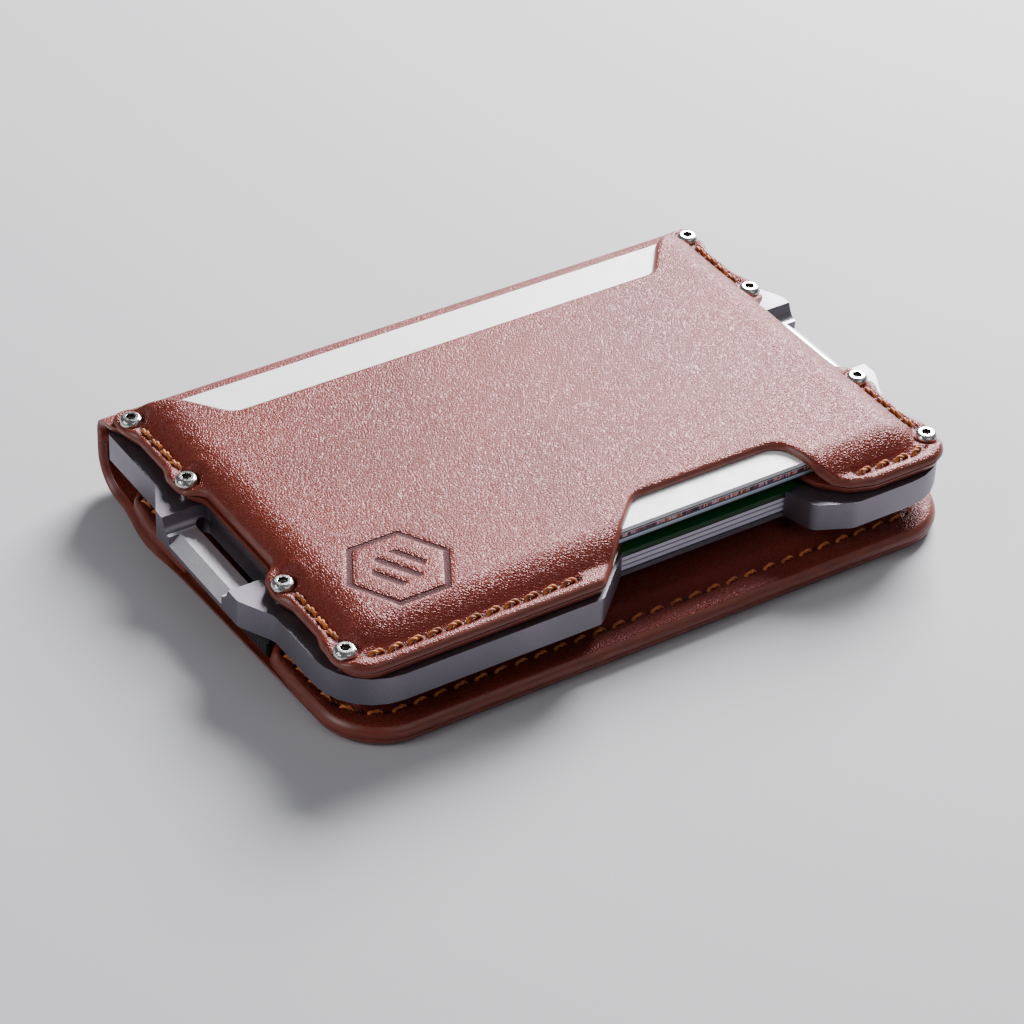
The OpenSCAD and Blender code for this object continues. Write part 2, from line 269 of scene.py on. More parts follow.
def pressed_mark(material, place, centre):
    """A plain mark pressed with a warm die: three bars in a hexagon, 13 mm across."""
    at = add(material, "VectorMath", {0: place, 1: (centre[0], centre[1], 0.0)}, operation="SUBTRACT")
    plan = add(material, "SeparateXYZ", {"Vector": at})
    x = add(material, "Math", {0: plan.outputs["X"]}, operation="ABSOLUTE")
    y = add(material, "Math", {0: plan.outputs["Y"]}, operation="ABSOLUTE")
    half_y = add(material, "Math", {0: y, 1: 0.5}, operation="MULTIPLY")
    slant = add(material, "Math", {0: x, 1: 0.866, 2: half_y}, operation="MULTIPLY_ADD")
    hexagon = add(material, "Math", {0: y, 1: slant}, operation="MAXIMUM")
    off_ring = add(material, "Math", {0: hexagon, 1: 6.235 * mm}, operation="SUBTRACT")
    ring_gap = add(material, "Math", {0: off_ring}, operation="ABSOLUTE")
    ring = add(material, "MapRange", {"Value": ring_gap, "From Min": 0.30 * mm, "From Max": 0.45 * mm,
            "To Min": 1.0, "To Max": 0.0}, interpolation_type="SMOOTHSTEP")
    turned = add(material, "Mapping", {"Vector": at, "Rotation": (0, 0, math.radians(-30))})
    bar_axes = add(material, "SeparateXYZ", {"Vector": turned})
    nearest = add(material, "Math", {0: bar_axes.outputs["X"], 1: 1.3 * mm, 2: -1.3 * mm},
            operation="WRAP")
    across = add(material, "Math", {0: nearest}, operation="ABSOLUTE")
    bar_side = add(material, "MapRange", {"Value": across, "From Min": 0.42 * mm, "From Max": 0.56 * mm,
            "To Min": 1.0, "To Max": 0.0}, interpolation_type="SMOOTHSTEP")
    outer_x = add(material, "Math", {0: bar_axes.outputs["X"]}, operation="ABSOLUTE")
    outer_y = add(material, "Math", {0: bar_axes.outputs["Y"]}, operation="ABSOLUTE")
    taper = add(material, "Math", {0: outer_x, 1: 0.385, 2: outer_y}, operation="MULTIPLY_ADD")
    bar_end = add(material, "MapRange", {"Value": taper, "From Min": 3.3 * mm, "From Max": 3.5 * mm,
            "To Min": 1.0, "To Max": 0.0}, interpolation_type="SMOOTHSTEP")
    inside = add(material, "Math", {0: outer_x, 1: 3.8 * mm}, operation="LESS_THAN")
    bars = add(material, "Math", {0: bar_side, 1: bar_end}, operation="MULTIPLY")
    three_bars = add(material, "Math", {0: bars, 1: inside}, operation="MULTIPLY")
    return add(material, "Math", {0: ring, 1: three_bars}, operation="MAXIMUM")


def pebbled_leather(name, light_hex, dark_hex, grain_mm, grain_depth_mm, roughness, stamp=None):
    """Vegetable-tanned cowhide with a pebbled grain: rounded pebbles of about half a millimetre
    between fine creases, a waxed surface, darker and smoother where it is pressed, and darker where
    the moulded pocket's slopes fall away, which is painted shade."""
    material, shader = new_material(name)
    place = add(material, "TexCoord", {}).outputs["Object"]
    bend = add(material, "TexNoise", {"Vector": place, "Scale": 1 / (1.1 * mm), "Detail": 2.0})
    bent = add(material, "VectorMath", {0: bend.outputs["Color"], "Scale": 0.30 * mm}, operation="SCALE")
    warped = add(material, "VectorMath", {0: place, 1: bent}, operation="ADD")
    pebble = add(material, "TexVoronoi", {"Vector": warped, "Scale": 1 / (grain_mm * mm)},
            feature="DISTANCE_TO_EDGE")
    crown = add(material, "MapRange", {"Value": pebble, "From Min": 0.0, "From Max": 0.28},
            interpolation_type="SMOOTHSTEP")
    fine = add(material, "TexNoise", {"Vector": place, "Scale": 1 / (0.16 * mm), "Detail": 3.0})
    patches = add(material, "TexNoise", {"Vector": place, "Scale": 1 / (20 * mm), "Detail": 3.0,
            "Roughness": 0.5})
    pressed = add(material, "Attribute", {}, attribute_name="pressed").outputs["Fac"]
    loose = add(material, "Math", {0: 1.0, 1: pressed}, operation="SUBTRACT")
    depth = add(material, "MapRange", {"Value": loose, "To Min": 0.6, "To Max": 1.0})
    rough_grain = add(material, "Math", {0: crown, 1: depth}, operation="MULTIPLY")
    relief = add(material, "Math", {0: fine, 1: 0.22, 2: rough_grain}, operation="MULTIPLY_ADD")
    height = relief
    if stamp:
        mark = pressed_mark(material, place, stamp)
        pressed = add(material, "Math", {0: pressed, 1: mark}, operation="MAXIMUM")
        height = add(material, "Math", {0: mark, 1: -3.2, 2: height}, operation="MULTIPLY_ADD")
    bump = add(material, "Bump", {"Height": height, "Strength": 0.8, "Distance": grain_depth_mm * mm})
    tone = add(material, "MapRange", {"Value": patches, "From Min": 0.3, "From Max": 0.7})
    hide = add(material, "Mix", {"Factor": tone, "A": linear(dark_hex), "B": linear(light_hex)},
            data_type="RGBA")
    crease = add(material, "MapRange", {"Value": rough_grain, "From Max": 0.6, "To Min": 0.72,
            "To Max": 1.0})
    creased = add(material, "VectorMath", {0: hide.outputs["Result"], 1: crease}, operation="MULTIPLY")
    # Darker where the pressed value is high: pressed leather, and on the moulded pocket's slopes painted
    # shade.
    worn_and_shaded = add(material, "Mix", {"Factor": pressed, "A": creased, "B": linear(dark_hex)},
            data_type="RGBA")
    # The awl holes are painted near-black: painted shade, read from the per-point hole value.
    hole_shade = add(material, "Attribute", {}, attribute_name="hole_shade").outputs["Fac"]
    hole_shaded = add(material, "Mix", {"Factor": hole_shade, "A": worn_and_shaded.outputs["Result"], "B": linear("#120604")},
            data_type="RGBA")
    gloss = add(material, "MapRange", {"Value": patches, "From Min": 0.3, "From Max": 0.7,
            "To Min": roughness - 0.01, "To Max": roughness + 0.02})
    colour = hole_shaded.outputs["Result"]
    if stamp:
        colour = add(material, "Mix", {"Factor": mark, "A": colour, "B": linear("#2A0E09")},
                data_type="RGBA").outputs["Result"]
        gloss = add(material, "Math", {0: mark, 1: 0.4, 2: gloss}, operation="MULTIPLY_ADD")
    feed(material, shader, {"Base Color": colour, "Roughness": gloss, "Normal": bump,
            "Specular IOR Level": 0.55, "Specular Tint": linear("#FFA6B6"), "Sheen Weight": 0.08,
            "Sheen Roughness": 0.4, "Sheen Tint": linear("#E8BCC8")})
    return material


def burnished_edge(name, hex_colour):
    """A cut leather edge, sanded, waxed and rubbed: smooth, a little glossy, with faint layers of
    pressed fibre along it."""
    material, shader = new_material(name)
    place = add(material, "TexCoord", {}).outputs["Object"]
    flat = add(material, "Mapping", {"Vector": place, "Scale": (0.12, 0.12, 1.0)})
    fibres = add(material, "TexNoise", {"Vector": flat, "Scale": 1 / (0.35 * mm), "Detail": 3.0})
    layers = add(material, "MapRange", {"Value": fibres, "From Min": 0.3, "From Max": 0.7,
            "To Min": 0.65, "To Max": 1.15})
    colour = add(material, "VectorMath", {0: linear(hex_colour)[:3], 1: layers}, operation="MULTIPLY")
    bump = add(material, "Bump", {"Height": fibres, "Strength": 0.4, "Distance": 0.05 * mm})
    feed(material, shader, {"Base Color": colour, "Normal": bump, "Roughness": 0.42, "Coat Weight": 0.15,
            "Coat Roughness": 0.3})
    return material


hide_leather = pebbled_leather("pebbled cowhide, waxed", "#782D18", "#652412", 0.42, 0.08, 0.43)
hide_edge = burnished_edge("burnished cowhide edge", "#712E20")


def panel_half_width(y):
    """Half of the lower panel's length at a distance y from its front edge."""
    rear = cover_high.y - cover_low.y
    half = cover_front_half + (cover_high.x - cover_front_half) * min(1.0, y / (rear - 12 * mm))
    if y < corner_radius:
        return half - corner_radius + math.sqrt(max(0.0, corner_radius ** 2 - (corner_radius - y) ** 2))
    return half - (half - spine_high.x) * step(rear - 16 * mm, rear - 4 * mm, y)


def row_run(row, rows, length, ease=0.0):
    """How far a row lies from a panel's front edge. Rows are close together round the corners, and
    with ease they also widen smoothly towards the far edge."""
    if row <= corner_rows:
        return corner_radius * (1 - math.cos(math.pi / 2 * row / corner_rows))
    t = (row - corner_rows) / (rows - corner_rows)
    t = (1 - ease) * t + ease * math.sin(math.pi / 2 * t)
    return corner_radius + (length - corner_radius) * t


def distance_from_edge(sheet, columns, rows, far_edge=True):
    """How far each point of a laid-out grid is from the sheet's cut edge. The edge is its rim
    points with more between neighbours. A longer step is a jump from one side to the next."""
    longest_step, parts = 2.5 * mm, 8
    width = columns + 1
    rim = list(range(width)) + (list(range(rows * width, (rows + 1) * width)) if far_edge else [])
    rim += [row * width for row in range(rows + 1)] + [row * width + columns for row in range(rows + 1)]
    places = [sheet.data.vertices[index].co for index in rim]
    outline = [place.copy() for place in places]
    for place, following in zip(places, places[1:]):
        if (following - place).length < longest_step:
            outline += [place.lerp(following, part / parts) for part in range(1, parts)]
    tree = KDTree(len(outline))
    for index, place in enumerate(outline):
        tree.insert(place, index)
    tree.balance()
    return [tree.find(vertex.co)[2] for vertex in sheet.data.vertices]


def lower_sheet_place(run):
    """The middle line of the sheet's outer face, along the table and up the spine, and the
    direction into the leather."""
    flat_end = spine_high.y - lower_fold_r
    flat = flat_end - cover_low.y
    turn = lower_fold_r * math.pi / 2
    if run < flat:
        return cover_low.y + run, 0.0, (0.0, 1.0)
    if run < flat + turn:
        a = (run - flat) / lower_fold_r
        return (flat_end + lower_fold_r * math.sin(a), lower_fold_r * (1 - math.cos(a)),
                (-math.sin(a), math.cos(a)))
    return spine_high.y, lower_fold_r + run - flat - turn, (-1.0, 0.0)


def flatten_end(sheet):
    """Squares off the end of a sheet in the middle of the spine, where the two halves meet."""
    for vertex in sheet.data.vertices:
        x, y, z = vertex.co
        off_end = abs(z - spine_middle_z)
        below_face = spine_high.y - y
        if (0.004 * mm < off_end < 0.55 * mm and abs(x) < spine_high.x - 0.7 * mm
                and 0.005 * mm < below_face < 0.6 * mm):
            vertex.co = (x, spine_high.y, spine_middle_z)


sheet_columns, sheet_rows = 120, 110
lower_sheet = flat_grid("cover_sheet", sheet_columns, sheet_rows, hide_leather, hide_edge)
sheet_run = (spine_high.y - lower_fold_r - cover_low.y + lower_fold_r * math.pi / 2
             + spine_middle_z - lower_fold_r)
sheet_walls, sheet_into = [], []
for vertex in lower_sheet.data.vertices:
    u, v = vertex.co.x, vertex.co.y
    run = row_run(round(v * sheet_rows), sheet_rows, sheet_run)
    y, z, (into_y, into_z) = lower_sheet_place(run)
    half = panel_half_width(run)
    vertex.co = (half * (2 * denser_at_ends(u, 0.75) - 1), y, z)
    sheet_into.append((Vector((0, into_y, into_z)), step(42 * mm, 52 * mm, run)))
sheet_insides = distance_from_edge(lower_sheet, sheet_columns, sheet_rows, far_edge=False)
for vertex, inside, (into, at_spine) in zip(lower_sheet.data.vertices, sheet_insides, sheet_into):
    rounding = panel_edge_r + (spine_edge_r - panel_edge_r) * at_spine
    bulge = max(0.06 + 0.44 * at_spine, round_over(inside, rounding))
    vertex.co += into * cover_thickness * (1 - bulge) * (1 - 0.5 * at_spine)
    sheet_walls.append(bulge)
vary_wall(lower_sheet, sheet_walls)
thicken(lower_sheet, cover_thickness, 0.1 * mm, inward=1.0)
flatten_end(lower_sheet)
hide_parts("cover_leather", "spine_leather")
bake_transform(lower_sheet)

# ---- The inner pocket leather ----------------------------------------------------------------
# A thinner piece of the same hide, glued and sewn to the lower panel round three sides. It stands
# up a little over the flat hidden pocket, and its short edges are cut back to let the band round.

inner_low, inner_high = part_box("inner_pocket_leather")
band_low, band_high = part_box("cash_band")
inner_thickness = 1.57 * mm
pad_rise = 0.8 * mm
over_band_rise = 0.66 * mm
rear_corner_r = 3 * mm
recess_half = 47.9 * mm
inner_rim = inner_high.z - pad_rise
band_middle = (band_low.y + band_high.y) / 2
stitch_pitch = 3.0 * mm
stitch_length = 2.35 * mm


def stitches_on(points):
    """Stitches along a seam's line: the middle and the direction of each, in plan."""
    places = []
    for a, b in zip(points, points[1:]):
        start, end = Vector(a) * mm, Vector(b) * mm
        count = max(1, math.floor((end - start).length / stitch_pitch + 0.5))
        for k in range(count):
            places.append((start.lerp(end, (k + 0.5) / count), (end - start).normalized()))
    return places


def paint(piece, name, values):
    """Stores one number for each vertex, for the leather to read."""
    layer = piece.data.attributes.new(name, "FLOAT", "POINT")
    layer.data.foreach_set("value", values)


def furrow_and_holes(x, y, places, furrow=0.75 * mm):
    """How deep a point lies in a seam's furrow, and whether it is in one of its holes."""
    deep = dark = 0.0
    for middle_place, direction in places:
        dx, dy = x - middle_place.x, y - middle_place.y
        if abs(dx) > 3 * mm or abs(dy) > 3 * mm:
            continue
        run = dx * direction.x + dy * direction.y
        side = abs(-dx * direction.y + dy * direction.x)
        if abs(run) < stitch_pitch * 0.55:
            deep = max(deep, 1 - step(0.2 * mm, furrow, side))
        off = math.hypot(abs(run) - stitch_pitch / 2, side)
        dark = max(dark, 1 - step(0.22 * mm, 0.5 * mm, off))
    return deep, dark


def shift(points):
    """A seam's line drawn from the tray's middle, moved to where the tray's middle is."""
    return [(x, y + tray_middle_y / mm) for x, y in points]


lower_seams = {
    "thread_cover_left": stitches_on(shift([(-46.4, -26.2), (-46.9, -14.5)]))
    + stitches_on(shift([(-46.9, 9.8), (-47.1, 23.8)])),
    "thread_cover_front": stitches_on(shift([(-46.4, -26.4), (-44.4, -29.8), (-41.2, -31.4),
                                             (41.2, -31.4), (44.4, -29.8), (46.4, -26.4)])),
    "thread_cover_right": stitches_on(shift([(46.4, -26.2), (46.9, -14.5)]))
    + stitches_on(shift([(46.9, 9.8), (47.1, 23.8)])),
}
lower_stitches = sum(lower_seams.values(), [])


def inner_half_width(y):
    """Half of the inner leather's length, with the edge recess for the band."""
    ahead = y - inner_low.y
    half = panel_half_width(ahead) - 0.6 * mm * step(14 * mm, 26 * mm, ahead)
    behind = inner_high.y - y
    if behind < rear_corner_r:
        half -= rear_corner_r - math.sqrt(max(0.0, rear_corner_r ** 2 - (rear_corner_r - behind) ** 2))
    recess = step(band_middle - 7.9 * mm, band_middle - 6.9 * mm, y)
    recess *= 1 - step(band_middle + 13.2 * mm, band_middle + 14.4 * mm, y)
    return half - recess * max(0.0, half - recess_half)


inner_hide = pebbled_leather("pebbled lining hide, waxed", "#732B16", "#5E2010", 0.42, 0.08, 0.46)
inner_columns, inner_rows = 150, 150
inner_leather = flat_grid("inner_pocket", inner_columns, inner_rows, inner_hide, hide_edge)
inner_pressed, inner_hole_shade, inner_walls, inner_rises = [], [], [], []
for vertex in inner_leather.data.vertices:
    u, v = vertex.co.x, vertex.co.y
    y = inner_low.y + row_run(round(v * inner_rows), inner_rows, inner_high.y - inner_low.y, 0.45)
    half = inner_half_width(y)
    x = half * (2 * denser_at_ends(u, 0.8) - 1)
    pad = 1 - step(43.6 * mm, 45.4 * mm, abs(x))
    pad *= step(inner_low.y + 4.6 * mm, inner_low.y + 6.6 * mm, y)
    over_band = 1 - step(band_high.y - band_middle, band_high.y - band_middle + 2.2 * mm,
                         abs(y - band_middle))
    rise = max(pad * pad_rise, over_band * over_band_rise)
    deep, dark = furrow_and_holes(x, y, lower_stitches)
    vertex.co = (x, y, inner_rim)
    inner_rises.append((rise, 0.16 * mm * deep + 0.14 * mm * dark))
    inner_pressed.append(max(0.6 * deep, step(45.0 * mm, 49 * mm, abs(x)) * 0.4))
    inner_hole_shade.append(dark)
inner_insides = distance_from_edge(inner_leather, inner_columns, inner_rows)
for vertex, inside, (rise, sunk) in zip(inner_leather.data.vertices, inner_insides, inner_rises):
    rounding = 1.4 * mm - 0.8 * mm * step(inner_high.y - rear_corner_r, inner_high.y, vertex.co.y)
    bulge = round_over(inside, rounding)
    vertex.co.z += rise * bulge - cover_thickness * (1 - bulge) - sunk
    inner_walls.append(max(0.06, bulge))
paint(inner_leather, "pressed", inner_pressed)
# The awl holes along the seam are stored for their painted shade.
paint(inner_leather, "hole_shade", inner_hole_shade)
vary_wall(inner_leather, inner_walls)
thicken(inner_leather, inner_thickness, 0.1 * mm)
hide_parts("inner_pocket_leather")
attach(inner_leather, "cover")

# ---- The elastic cash band -------------------------------------------------------------------
# A flat black woven elastic for folded notes. It crosses the inner leather, goes round both short
# edges in their recesses, and its ends are sewn down out of sight between the two leathers.

band_thickness = 0.6 * mm
band_bends = [(-42.5, 1.95), (-48.1, 1.95), (-48.3, 2.25), (-48.3, 3.9), (-48.0, 4.2), (-45.6, 4.28),
              (-44.4, 4.33), (44.4, 4.33), (45.6, 4.28), (48.0, 4.2), (48.3, 3.9), (48.3, 2.25),
              (48.1, 1.95), (42.5, 1.95)]
band_line = [Vector((x * mm, 0, z * mm)) for x, z in band_bends]
band_lengths = arc_length_points(band_line)
band = flat_grid("elastic_band", 220, 8)
weave = band.data.uv_layers.new(name="weave")
for loop in band.data.loops:
    flat = band.data.vertices[loop.vertex_index].co
    weave.data[loop.index].uv = (flat.x * band_lengths[-1] / mm, flat.y * (band_high.y - band_low.y) / mm)
for vertex in band.data.vertices:
    u, v = vertex.co.x, vertex.co.y
    place = along(band_line, band_lengths, 1 - u)
    vertex.co = (place.x, band_low.y + (band_high.y - band_low.y) * v, place.z)

# Woven elastic: black yarn over rubber cords. The cords show as fine ribs along the band, and the
# yarn that crosses them as a dull broken texture.
elastic, elastic_shader = new_material("woven elastic, black")
elastic_uv = add(elastic, "UVMap", {}, uv_map="weave")
elastic_axes = add(elastic, "SeparateXYZ", {"Vector": elastic_uv})
ribs = add(elastic, "Math", {0: elastic_axes.outputs["Y"], 1: 2 * math.pi / 0.9}, operation="MULTIPLY")
rib_wave = add(elastic, "Math", {0: ribs}, operation="SINE")
picks = add(elastic, "Math", {0: elastic_axes.outputs["X"], 1: 2 * math.pi / 0.55, 2: ribs},
        operation="MULTIPLY_ADD")
pick_wave = add(elastic, "Math", {0: picks}, operation="SINE")
weave_height = add(elastic, "Math", {0: pick_wave, 1: 0.6, 2: rib_wave}, operation="MULTIPLY_ADD")
fuzz = add(elastic, "TexNoise", {"Vector": elastic_uv, "Scale": 3.0, "Detail": 4.0})
weave_fuzz = add(elastic, "Math", {0: fuzz, 1: 1.2, 2: weave_height}, operation="MULTIPLY_ADD")
weave_bump = add(elastic, "Bump", {"Height": weave_fuzz, "Strength": 0.7, "Distance": 0.08 * mm})
yarn = add(elastic, "MapRange", {"Value": weave_fuzz, "From Min": -1.2, "From Max": 2.2},
        interpolation_type="SMOOTHSTEP")
yarn_tone = add(elastic, "Mix", {"Factor": yarn, "A": linear("#030304"), "B": linear("#0B0B0D")},
        data_type="RGBA")
feed(elastic, elastic_shader, {"Base Color": yarn_tone.outputs["Result"], "Normal": weave_bump,
        "Roughness": 0.75, "Sheen Weight": 0.03, "Sheen Roughness": 0.5})

band.data.materials.append(elastic)
thicken(band, band_thickness, 0.15 * mm, inward=0.0, cut_edge=0)
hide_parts("cash_band")
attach(band, "cover")

# ---- The lower panel's seam ------------------------------------------------------------------
# A hand-sewn line of waxed two-ply thread through both leathers, in three runs that stop at the
# band's recesses. Each stitch arches out of one awl hole and into the next.

stitch_rise = 0.22 * mm
lower_thread_r = 0.23 * mm
lower_seam_z = inner_rim - 0.11 * mm
ply_spans = 16


def one_stitch(radius):
    """One stitch along X with its holes at its ends: two plies twisted round each other."""
    plies = []
    for start in (0.0, math.pi):
        curve = bpy.data.curves.new("ply", "CURVE")
        curve.dimensions = "3D"
        curve.bevel_depth = radius * 0.62
        curve.bevel_resolution = 2
        spline = curve.splines.new("POLY")
        spline.points.add(ply_spans)
        for k, point in enumerate(spline.points):
            s = k / ply_spans * 2 - 1
            lift = stitch_rise - (stitch_rise + 0.5 * mm) * abs(s) ** 4
            turn = start + s * math.pi * 1.25
            swing = radius * 0.5
            point.co = (s * stitch_length / 2, swing * math.cos(turn),
                        lift + swing * math.sin(turn), 1.0)
            point.radius = 1.0 - 0.25 * abs(s) ** 3
        ply = bpy.data.objects.new("ply", curve)
        bpy.context.scene.collection.objects.link(ply)
        plies.append(ply)
    select(*plies)
    bpy.ops.object.convert(target="MESH")
    bpy.ops.object.join()
    stitch = bpy.context.object
    bpy.ops.object.shade_smooth()
    return stitch


def sew(node, places, height, body):
    """Copies the stitch to each place of a seam, joins the copies into one piece, and puts it in
    place of the seam's node."""
    copies = []
    for number, (place, direction) in enumerate(places):
        copy = stitch_master.copy()
        copy.data = stitch_master.data.copy()
        bpy.context.scene.collection.objects.link(copy)
        copy.location = (place.x, place.y, height)
        wobble = math.radians(9 + 3 * math.sin(number * 2.4))
        copy.rotation_euler = (0, 0, math.atan2(direction.y, direction.x) + wobble)
        copies.append(copy)
    select(*copies)
    bpy.ops.object.join()
    bpy.ops.object.transform_apply(location=True, rotation=True, scale=True)
    seam = bpy.context.object
    seam.name = node.replace("thread_", "stitches_")
    seam.data.name = seam.name
    seam.data.materials.clear()
    seam.data.materials.append(thread)
    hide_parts(node)
    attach(seam, body)


# Waxed linen thread: orange-brown, darker where the wax and the edge dressing have soaked in,
# with fine fibres along the plies and a soft wax shine.
thread, thread_shader = new_material("waxed linen thread")
thread_place = add(thread, "TexCoord", {}).outputs["Object"]
soaked = add(thread, "TexNoise", {"Vector": thread_place, "Scale": 1 / (1.8 * mm), "Detail": 3.0})
soak_share = add(thread, "MapRange", {"Value": soaked, "From Min": 0.35, "From Max": 0.68})
thread_tone = add(thread, "Mix", {"Factor": soak_share, "A": linear("#CC7328"), "B": linear("#8A4516")},
        data_type="RGBA")
fibre = add(thread, "TexNoise", {"Vector": thread_place, "Scale": 1 / (0.12 * mm), "Detail": 3.0})
fibre_bump = add(thread, "Bump", {"Height": fibre, "Strength": 0.5, "Distance": 0.05 * mm})
feed(thread, thread_shader, {"Base Color": thread_tone.outputs["Result"], "Normal": fibre_bump,
        "Roughness": 0.5, "Sheen Weight": 0.2})

stitch_master = one_stitch(lower_thread_r)
for node, places in lower_seams.items():
    sew(node, places, lower_seam_z, "cover")

# ---- The tray --------------------------------------------------------------------------------
# One plate of aluminium, milled to a shallow bay for four cards with a lanyard slot and bar at the
# middle of each short side. Its edges are broken, it is bead-blasted, and the bars' tops are cut
# bright, their pale colour partly a painted highlight.


def copy_of(node, name, *materials):
    """A copy of a machined piece, its loose triangles joined into clean flat faces."""
    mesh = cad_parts[node].data.copy()
    piece = bpy.data.objects.new(name, mesh)
    bpy.context.scene.collection.objects.link(piece)
    mesh.name = name
    mesh.materials.clear()
    for material in materials:
        mesh.materials.append(material)
    select(piece)
    bpy.ops.object.mode_set(mode="EDIT")
    bpy.ops.mesh.select_all(action="SELECT")
    bpy.ops.mesh.remove_doubles(threshold=0.002 * mm)
    bpy.ops.mesh.dissolve_limited(angle_limit=math.radians(1))
    bpy.ops.object.mode_set(mode="OBJECT")
    return piece


def break_edges(piece, width, segments, edge_material):
    """Takes the sharpness off a machined piece's edges, and keeps its flat faces looking flat."""
    round_edges(piece, width, segments, 32, edge_material)
    bpy.ops.object.shade_smooth_by_angle(angle=math.radians(28))
    flats = piece.modifiers.new("flat faces stay flat", "WEIGHTED_NORMAL")
    flats.keep_sharp = True
    apply_modifiers(piece)


def aluminium(name, hex_colour, roughness, grit_mm, grit_depth_mm):
    """Bare aluminium: pale grey metal whose fine grit spreads the light."""
    material, shader = new_material(name)
    place = add(material, "TexCoord", {}).outputs["Object"]
    grit = add(material, "TexNoise", {"Vector": place, "Scale": 1 / (grit_mm * mm), "Detail": 4.0})
    handling = add(material, "TexNoise", {"Vector": place, "Scale": 1 / (7 * mm), "Detail": 3.0})
    bump = add(material, "Bump", {"Height": grit, "Strength": 0.6, "Distance": grit_depth_mm * mm})
    gloss = add(material, "MapRange", {"Value": handling, "From Min": 0.3, "From Max": 0.7,
            "To Min": roughness - 0.05, "To Max": roughness + 0.05})
    speck = add(material, "MapRange", {"Value": grit, "From Min": 0.3, "From Max": 0.7, "To Min": 0.93,
            "To Max": 1.05})
    colour = add(material, "VectorMath", {0: linear(hex_colour)[:3], 1: speck}, operation="MULTIPLY")
    feed(material, shader, {"Base Color": colour, "Roughness": gloss, "Normal": bump, "Metallic": 1.0})
    return material


blasted = aluminium("bead-blasted aluminium", "#7B767F", 0.45, 0.22, 0.02)
bright_cut_and_highlight = aluminium("machined aluminium, painted highlight", "#DCDADF", 0.44, 0.5, 0.004)
bar_top = tray_low.z + 2.1 * mm
bar_inside = 46.8 * mm
tray = copy_of("tray", "card_tray", blasted, bright_cut_and_highlight)
# Up-facing faces on the bars take the pale metal: a cut finish, and a painted highlight.
for face in tray.data.polygons:
    on_bar = face.normal.z > 0.6 and face.center.z < bar_top + 0.1 * mm
    if on_bar and abs(face.center.x) > bar_inside:
        face.material_index = 1
break_edges(tray, 0.28 * mm, 3, 0)
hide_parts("tray")
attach(tray, "upper")

# ---- The cards -------------------------------------------------------------------------------
# Four cards lie in the tray and three in the outer pocket: laminated PVC, with the printed sheets
# showing as fine lines along their cut edges. Their shape is already right.


def fill_ramp(ramp, stops):
    """Gives a colour ramp its stops, each a position and a colour."""
    while len(ramp.elements) < len(stops):
        ramp.elements.new(0.5)
    for stop, (position, hex_colour) in zip(ramp.elements, stops):
        stop.position = position
        stop.color = linear(hex_colour)


def laminated_pvc(name, node, layers, speckle=None):
    """A PVC card pressed from thin sheets. The layers are (height share, colour) from its back to
    its face: clear film, print, core, print and film."""
    material, shader = new_material(name)
    low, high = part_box(node)
    place = add(material, "TexCoord", {}).outputs["Object"]
    height = add(material, "SeparateXYZ", {"Vector": place}).outputs["Z"]
    share = add(material, "MapRange", {"Value": height, "From Min": low.z, "From Max": high.z})
    ramp = add(material, "ValToRGB", {"Fac": share})
    ramp.color_ramp.interpolation = "CONSTANT"
    fill_ramp(ramp.color_ramp, layers)
    colour = ramp
    if speckle:
        stretch = add(material, "Mapping", {"Vector": place, "Scale": (1.0, 1.0, 0.2)})
        specks = add(material, "TexNoise", {"Vector": stretch, "Detail": 4.0, "Scale": 1 / (1.7 * mm),
                "Roughness": 0.7})
        foil = add(material, "ValToRGB", {"Fac": specks})
        fill_ramp(foil.color_ramp, speckle)
        inside = add(material, "Math", {0: share, 1: 0.5, 2: 0.36}, operation="COMPARE")
        colour = add(material, "Mix", {"Factor": inside, "A": colour, "B": foil},
                data_type="RGBA").outputs["Result"]
    film = add(material, "TexNoise", {"Vector": place, "Scale": 1 / (2.5 * mm), "Detail": 3.0})
    film_gloss = add(material, "MapRange", {"Value": film, "From Min": 0.3, "From Max": 0.7,
            "To Min": 0.30, "To Max": 0.42})
    film_bump = add(material, "Bump", {"Height": film, "Strength": 0.1, "Distance": 0.02 * mm})
    feed(material, shader, {"Base Color": colour, "Roughness": film_gloss, "Normal": film_bump,
            "IOR": 1.53})
    return material


card_layers = {
    "quick_card_3": [(0.0, "#1A1B20"), (0.10, "#55565C"), (0.22, "#D9DADF"), (0.82, "#B8B9BF"),
                     (0.975, "#F3F4F6")],
    "quick_card_2": [(0.0, "#0B0B12"), (0.14, "#2A1420"), (0.86, "#D7D3DC"), (0.975, "#3A2030")],
    "quick_card_1": [(0.0, "#0A0B14"), (0.16, "#8F9DB0"), (0.55, "#B9C3D2"), (0.84, "#0E1222"),
                     (0.975, "#6B7C93")],
    "tray_card_4": [(0.0, "#08100C"), (0.14, "#123F1E"), (0.86, "#0B2413"), (0.975, "#17552A")],
    "tray_card_3": [(0.0, "#0E0F12"), (0.15, "#C9C2D4"), (0.85, "#1B1C22"), (0.975, "#2B2D31")],
    "tray_card_2": [(0.0, "#3C3846"), (0.14, "#CFC9DA"), (0.86, "#A29CB0"), (0.975, "#C9C4D6")],
    "tray_card_1": [(0.0, "#3C3846"), (0.14, "#C4BED2"), (0.86, "#6D6779"), (0.975, "#C9C4D6")],
}
foil_specks = [(0.0, "#1B0D16"), (0.40, "#2A1220"), (0.47, "#7C2F55"), (0.52, "#C9A9B8"),
               (0.57, "#B5562E"), (0.64, "#2A1220")]
for node, layers in card_layers.items():
    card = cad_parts[node]
    card_plastic = laminated_pvc("laminated PVC, " + node.replace("_", " "), node, layers,
                                 speckle=foil_specks if node == "quick_card_2" else None)
    card.data.materials.clear()
    card.data.materials.append(card_plastic)

